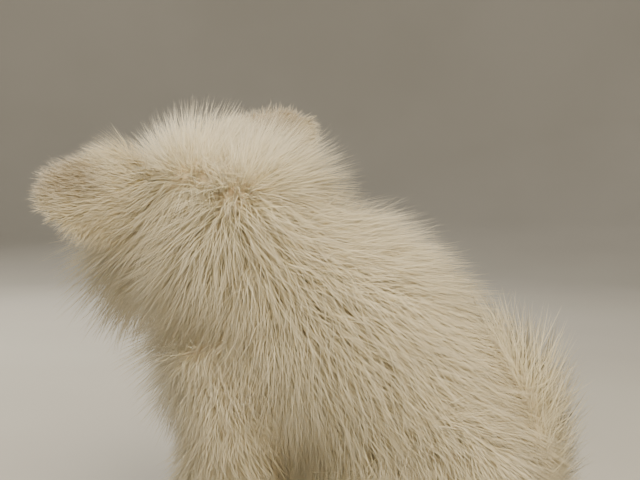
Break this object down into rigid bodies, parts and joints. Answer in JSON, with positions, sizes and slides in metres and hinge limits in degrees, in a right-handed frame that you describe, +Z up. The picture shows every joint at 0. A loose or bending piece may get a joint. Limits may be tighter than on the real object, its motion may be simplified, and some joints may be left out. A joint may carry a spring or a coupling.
{
  "type": "pomeranian puppy",
  "caption": "Life-size model of a fluffy cream-white Pomeranian puppy sitting, head turned to its right and lowered, ears out to the sides, plumed tail against its back.",
  "frame": {"origin": "on the floor, in the middle of the flat that the rump sits on", "axes": "+Z up, the dog faces -Y, its left side is +X"},
  "size_m": [0.1177, 0.2, 0.1875],
  "materials": {
    "coat": "soft matte cream-white fur",
    "ear": "short soft fur, warmer cream",
    "nose": "moist black leather",
    "eye": "wet dark brown"
  },
  "bodies": {
    "root": {"head": "coat", "lower_jaw": "coat", "nose": "nose", "eye_left": "eye", "ear_left": "ear", "eye_right": "eye", "ear_right": "ear", "neck": "coat", "torso": "coat", "tail": "coat", "foreleg_left": "coat", "forepaw_left": "coat", "hind_leg_left": "coat", "hind_foot_left": "coat", "foreleg_right": "coat", "forepaw_right": "coat", "hind_leg_right": "coat", "hind_foot_right": "coat"}
  },
  "joints": []
}
